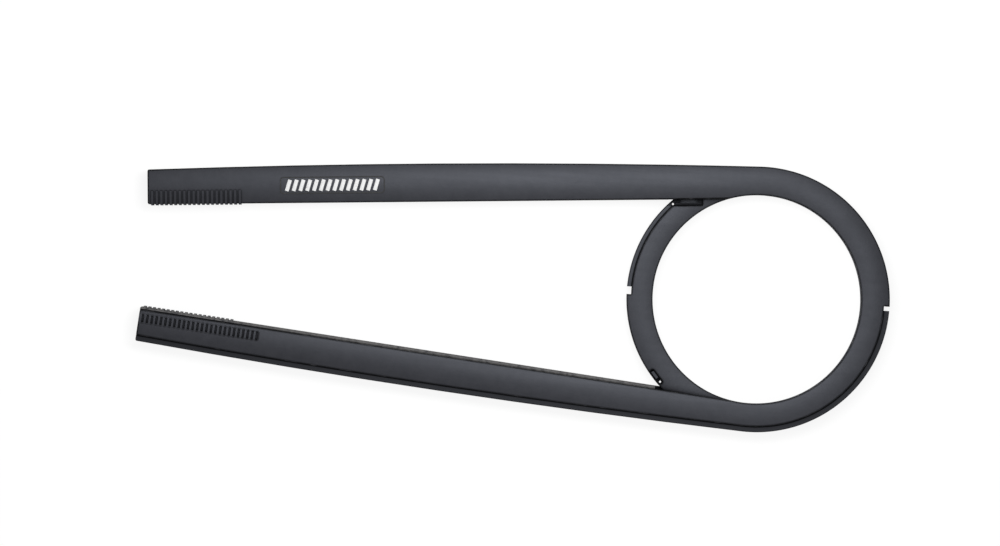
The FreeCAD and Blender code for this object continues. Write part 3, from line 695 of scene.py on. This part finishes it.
def shell_plastic():
    """Black plastic, with the constants on the shader's own sockets."""
    make = Maker("black_moulded_plastic")
    make.shader.inputs["IOR"].default_value = 1.49
    make.shader.inputs["Specular Tint"].default_value = COOL_TINT
    skin = make.group(groups["grain"])
    shade, wear, lip_highlight, hollow_shade = shell_masks(make)
    colour = make.mix("RGBA", make.span(skin.outputs["Mottle"], *NOISE_RANGE, 0.0, 1.0), *BLACKS)
    # Painted shade on edges and lands, real wear, painted shade in hollows and a painted highlight on the lips, in
    # turn.
    for mask, paint in ((shade, SHADED), (wear, WORN), (hollow_shade, HOLLOW_SHADE), (lip_highlight, LIP_HIGHLIGHT)):
        colour = make.mix("RGBA", mask, colour, paint)
    make.links.new(colour, make.shader.inputs["Base Color"])
    rough = make.mix("FLOAT", wear, make.span(skin.outputs["Flow"], *NOISE_RANGE, *SATIN), WORN_SATIN)
    make.links.new(rough, make.shader.inputs["Roughness"])
    gloss = make.mix("FLOAT", shade, make.span(hollow_shade, 0.0, 1.0, GLOSS, HOLLOW_SHADE_GLOSS), SHADED_GLOSS)
    make.links.new(gloss, make.shader.inputs["Specular IOR Level"])
    make.bump(skin.outputs["Grain"], strength=0.6, distance=0.05 * MM)
    return make.material


plastic = shell_plastic()
for piece in shells:
    piece.data.materials.clear()
    piece.data.materials.append(plastic)
print("plastic nodes:", len(plastic.node_tree.nodes))

# %% [markdown]
# ## A row of plain bars in a frame
# On the upper arm a row of slanted bars is printed over the plastic, inside a fine dark frame. The frame is painted
# shade, a near black line where a fine groove round the label lies in shade. Every bar is the same, and bars and
# frame follow the crowned face, so Geometry Nodes suits them: flat lines are drawn level, their points are lifted
# onto the crown, and a thin rounded strip is swept along them.

# %% Inputs of the two node trees
SHARED_INPUTS = {
    "Width": ("NodeSocketFloat", 2.5 * MM),
    "Raise": ("NodeSocketFloat", 0.12 * MM),
    "Crown Radius": ("NodeSocketFloat", CROWN_RADIUS),
    "Level": ("NodeSocketFloat", FACE_LEVEL),
    "Place": ("NodeSocketVector", (-0.28063, 0.05433, 0.0)),
    "Turn": ("NodeSocketFloat", ARM_ANGLE),
    "Paint": ("NodeSocketMaterial", None),
}
BAR_INPUTS = SHARED_INPUTS | {
    "Bars": ("NodeSocketInt", 14),
    "Pitch": ("NodeSocketFloat", 4.4 * MM),
    "Length": ("NodeSocketFloat", 7.2 * MM),
    "Slant": ("NodeSocketFloat", 2.2 * MM),
}
FRAME_INPUTS = SHARED_INPUTS | {
    "Width": ("NodeSocketFloat", 0.7 * MM),
    "Raise": ("NodeSocketFloat", 0.08 * MM),
    "Long": ("NodeSocketFloat", 67.5 * MM),
    "High": ("NodeSocketFloat", 10.4 * MM),
    "Corner": ("NodeSocketFloat", 2.0 * MM),
}
print("inputs of the bars:", list(BAR_INPUTS))
print("inputs of the frame:", list(FRAME_INPUTS))

# %% Short ways to build a node tree


class Tree:
    """Geometry Nodes tree with named inputs."""

    def __init__(self, name, inputs):
        self.tree = bpy.data.node_groups.new(name, "GeometryNodeTree")
        self.tree.interface.new_socket("Geometry", in_out="OUTPUT", socket_type="NodeSocketGeometry")
        for label, (kind, _) in inputs.items():
            self.tree.interface.new_socket(label, in_out="INPUT", socket_type=kind)
        self.given = self.tree.nodes.new("NodeGroupInput").outputs
        self.leave = self.tree.nodes.new("NodeGroupOutput")

    def add(self, kind, settings=None, **values):
        """Add a node; values are sockets or constants, named after its inputs. Gives its first output."""
        node = self.tree.nodes.new(kind)
        for name, value in (settings or {}).items():
            setattr(node, name, value)
        for name, value in values.items():
            self.put(node.inputs[name.replace("_", " ")], value)
        return node.outputs[0]

    def put(self, socket, value):
        """Link a socket to another, or set its constant."""
        if isinstance(value, bpy.types.NodeSocket):
            self.tree.links.new(value, socket)
        else:
            socket.default_value = value

    def math(self, operation, *values):
        """Math node; values are sockets or constants."""
        node = self.tree.nodes.new("ShaderNodeMath")
        node.operation = operation
        for socket, value in zip(node.inputs, values):
            self.put(socket, value)
        return node.outputs[0]

    def sweep_on_crown(self, lines):
        """Lift level lines onto the crowned face, sweep a strip along them, and put the result on the arm."""
        given = self.given
        spot = self.tree.nodes.new("ShaderNodeSeparateXYZ")
        self.put(spot.inputs[0], self.add("GeometryNodeInputPosition"))
        x, y = spot.outputs["X"], spot.outputs["Y"]
        square = self.math("MULTIPLY", given["Crown Radius"], given["Crown Radius"])
        rise = self.math("SQRT", self.math("SUBTRACT", square, self.math("MULTIPLY", y, y)))
        height = self.math("ADD", self.math("SUBTRACT", given["Level"], given["Crown Radius"]), rise)
        lifted = self.add(
            "GeometryNodeSetPosition", Geometry=lines, Position=self.add("ShaderNodeCombineXYZ", X=x, Y=y, Z=height)
        )
        upright = self.add("GeometryNodeSetCurveNormal", {"mode": "Z_UP"}, Curve=lifted)
        thick = self.math("MULTIPLY", given["Raise"], 2.0)
        strip = self.add("GeometryNodeCurvePrimitiveQuadrilateral", Width=given["Width"], Height=thick)
        soft = self.add("GeometryNodeFilletCurve", Curve=strip, Radius=self.math("MULTIPLY", given["Raise"], 0.8))
        solid = self.add("GeometryNodeCurveToMesh", Curve=upright, Profile_Curve=soft, Fill_Caps=True)
        turn = self.add("ShaderNodeCombineXYZ", Z=given["Turn"])
        placed = self.add("GeometryNodeTransform", Geometry=solid, Translation=given["Place"], Rotation=turn)
        whole = self.add("GeometryNodeRealizeInstances", Geometry=placed)
        painted = self.add("GeometryNodeSetMaterial", Geometry=whole, Material=given["Paint"])
        self.put(self.leave.inputs[0], painted)
        return self.tree


print("tree helpers:", [name for name in vars(Tree) if not name.startswith("_")])

# %% Node trees of the bars and the frame
BAR_POINTS = 9
FRAME_POINTS = 200
CORNER_POINTS = 6


def bar_row():
    """Row of slanted bars."""
    row = Tree("bar_row", BAR_INPUTS)
    given = row.given
    reach = row.math("MULTIPLY", row.math("SUBTRACT", given["Bars"], 1.0), given["Pitch"])
    points = row.add(
        "GeometryNodeMeshLine",
        Count=given["Bars"],
        Start_Location=row.add("ShaderNodeCombineXYZ", X=row.math("MULTIPLY", reach, -0.5)),
        Offset=row.add("ShaderNodeCombineXYZ", X=given["Pitch"]),
    )
    tips = [
        row.add(
            "ShaderNodeCombineXYZ",
            X=row.math("MULTIPLY", given["Slant"], share),
            Y=row.math("MULTIPLY", given["Length"], share),
        )
        for share in (-0.5, 0.5)
    ]
    line = row.add("GeometryNodeCurvePrimitiveLine", Start=tips[0], End=tips[1])
    spread = row.add("GeometryNodeInstanceOnPoints", Points=points, Instance=line)
    loose = row.add("GeometryNodeRealizeInstances", Geometry=spread)
    return row.sweep_on_crown(row.add("GeometryNodeResampleCurve", Curve=loose, Count=BAR_POINTS))


def label_frame():
    """Frame with round corners."""
    edge = Tree("label_frame", FRAME_INPUTS)
    given = edge.given
    box = edge.add("GeometryNodeCurvePrimitiveQuadrilateral", Width=given["Long"], Height=given["High"])
    soft_box = edge.add(
        "GeometryNodeFilletCurve", {"mode": "POLY"}, Curve=box, Radius=given["Corner"], Count=CORNER_POINTS
    )
    return edge.sweep_on_crown(edge.add("GeometryNodeResampleCurve", Curve=soft_box, Count=FRAME_POINTS))


trees = {"printed_bars": (bar_row(), BAR_INPUTS), "painted_groove_shade": (label_frame(), FRAME_INPUTS)}
print("node trees:", {name: len(tree.nodes) for name, (tree, _) in trees.items()})

# %% [markdown]
# ## The print
# The print is a thin coat, white for the bars and near black for the frame; the near black is painted shade for a
# groove. It is slightly mottled and worn through in specks, so it uses the wear group with the whole coat counted as
# rubbed. When a tree has been evaluated, its result becomes a plain mesh and the modifier goes, so the piece can ride
# on the CAD body like the shells.

# %% Make the bars and the frame
BARE = (0.045, 0.045, 0.048, 1.0)
COAT_ROUGH = (0.5, 0.64)


def print_coat(name, dark, light):
    """Thin grey coat between two shades, worn through in specks."""
    make = Maker(name)
    skin = make.group(groups["grain"], mottle_scale=300.0)
    wear = make.group(groups["wear"], rubbed=1.0, patch_scale=900.0, start=0.62, full=0.74)
    shift = make.span(skin.outputs["Mottle"], *NOISE_RANGE, 0.0, 1.0)
    coat = make.mix("RGBA", shift, (dark, dark, dark, 1.0), (light, light, light, 1.0))
    colour = make.mix("RGBA", wear.outputs["Wear"], coat, BARE)
    make.links.new(colour, make.shader.inputs["Base Color"])
    make.links.new(make.span(skin.outputs["Grain"], *NOISE_RANGE, *COAT_ROUGH), make.shader.inputs["Roughness"])
    make.bump(skin.outputs["Grain"], strength=0.1, distance=0.03 * MM)
    return make.material


def made_with(name, tree, values):
    """Plain mesh object from a Geometry Nodes tree and its input values."""
    holder = bpy.data.objects.new(name + "_holder", bpy.data.meshes.new(name + "_holder"))
    bpy.context.scene.collection.objects.link(holder)
    modifier = holder.modifiers.new("nodes", "NODES")
    modifier.node_group = tree
    for item in tree.interface.items_tree:
        if item.in_out == "INPUT":
            modifier[item.identifier] = values[item.name]
    view = bpy.context.evaluated_depsgraph_get()
    data = bpy.data.meshes.new_from_object(holder.evaluated_get(view))
    holder.modifiers.remove(modifier)
    bpy.data.objects.remove(holder)
    piece = bpy.data.objects.new(name, data)
    bpy.context.scene.collection.objects.link(piece)
    return piece


coats = {
    "printed_bars": print_coat("white_print", 0.72, 0.86),
    # Near black frame: painted shade where the label's groove would lie in shade.
    "painted_groove_shade": print_coat("groove_shade_print", 0.006, 0.012),
}
for name, (tree, inputs) in trees.items():
    values = {label: value for label, (_, value) in inputs.items()} | {"Paint": coats[name]}
    piece = made_with(name, tree, values)
    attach(piece, "root")
    print(name, len(piece.data.polygons), "faces,", [material.name for material in piece.data.materials])

# %% [markdown]
# ## Table
# The part lies on a white table, as in a catalogue. Seen directly or in a reflection, the table is mostly plain white
# and keeps a faint share of the part's shadow. The Light Path node tells those rays from the rest, so the table still
# throws light back onto the part as a matt surface does.

# %% Table
FLOOR_LEVEL = cad_box[0][2]
FLOOR_HALF = 3.0
MATT_WHITE = (0.86, 0.86, 0.86, 1.0)
WHITE_SHARE = 0.8
WHITE_STRENGTH = 1.08


def table_white():
    """Matt white that shows mostly as plain white when it is seen directly or in a reflection."""
    make = Maker("table_white")
    make.shader.inputs["Base Color"].default_value = MATT_WHITE
    make.shader.inputs["Roughness"].default_value = 0.9
    make.shader.inputs["Specular IOR Level"].default_value = 0.1
    path = make.nodes.new("ShaderNodeLightPath")
    seen = path.outputs["Is Camera Ray"]
    for name in ("Is Glossy Ray", "Is Transmission Ray"):
        seen = make.math("MAXIMUM", seen, path.outputs[name])
    share = make.span(seen, 0.0, 1.0, 0.0, WHITE_SHARE)
    white = make.nodes.new("ShaderNodeEmission")
    white.inputs["Strength"].default_value = WHITE_STRENGTH
    blend = make.nodes.new("ShaderNodeMixShader")
    make.links.new(share, blend.inputs["Fac"])
    make.links.new(make.shader.outputs["BSDF"], blend.inputs[1])
    make.links.new(white.outputs["Emission"], blend.inputs[2])
    make.links.new(blend.outputs["Shader"], make.nodes["Material Output"].inputs["Surface"])
    return make.material


ends = (-FLOOR_HALF, FLOOR_HALF)
floor_mesh = bpy.data.meshes.new("table")
floor_mesh.from_pydata([(x, y, FLOOR_LEVEL) for x in ends for y in ends], [], [(0, 2, 3, 1)])
floor_mesh.materials.append(table_white())
floor = bpy.data.objects.new("table", floor_mesh)
bpy.context.scene.collection.objects.link(floor)
print("table level:", round(FLOOR_LEVEL / MM, 2), "mm")

# %% [markdown]
# ## Lamps
# One soft lamp stands beyond the upper arm and near to it. On satin plastic the lamp's reflection gives the form: it
# runs along the crown of the upper arm, fades towards both ends, and leaves the edges that turn away dark. A large
# weak lamp overhead and a pale world open the shadows.

# %% Lamps and world
WORLD_STRENGTH = 0.4


def softbox(name, place, aim, size, watts):
    """Soft rectangular lamp that shines from a place to another."""
    data = bpy.data.lights.new(name, "AREA")
    data.shape = "RECTANGLE"
    data.size, data.size_y = size
    data.energy = watts
    lamp = bpy.data.objects.new(name, data)
    lamp.location = place
    lamp.rotation_euler = (Vector(aim) - Vector(place)).to_track_quat("-Z", "Y").to_euler()
    bpy.context.scene.collection.objects.link(lamp)
    return lamp


lamps = [
    softbox("key_softbox", place=(-0.14, 0.18, 0.74), aim=(-0.18, 0.0, 0.0), size=(0.42, 0.22), watts=3.4),
    softbox("overhead_softbox", place=(0.06, 0.0, 1.3), aim=(-0.1, 0.0, 0.0), size=(0.8, 0.45), watts=2.5),
]
world = bpy.data.worlds.new("studio_world")
bpy.context.scene.world = world
world.use_nodes = True
world.node_tree.nodes["Background"].inputs["Color"].default_value = (1.0, 1.0, 1.0, 1.0)
world.node_tree.nodes["Background"].inputs["Strength"].default_value = WORLD_STRENGTH
print("lamps:", [lamp.name for lamp in lamps])

# %% [markdown]
# ## Camera
# The picture was taken from straight above, far enough away that the walls hardly show. A camera six metres up with
# a long lens gives that view, and a small turn about the upright axis sets the part at the same slant.

# %% Camera from straight above
SENSOR = 36.0
FIELD_WIDTH = 0.650
CAMERA_HEIGHT = 6.0
CAMERA_X, CAMERA_Y = -0.16786, 0.00513
CAMERA_TURN = 0.07200595
camera_data = bpy.data.cameras.new("photo_camera")
camera_data.sensor_width = SENSOR
camera_data.lens = SENSOR * (CAMERA_HEIGHT - FACE_LEVEL) / FIELD_WIDTH
camera = bpy.data.objects.new("photo_camera", camera_data)
camera.location = (CAMERA_X, CAMERA_Y, CAMERA_HEIGHT)
camera.rotation_euler = (0.0, 0.0, CAMERA_TURN)
bpy.context.scene.collection.objects.link(camera)
bpy.context.scene.camera = camera
bpy.context.scene.view_settings.view_transform = "Standard"
print("lens:", round(camera_data.lens, 1), "mm")

# %% [markdown]
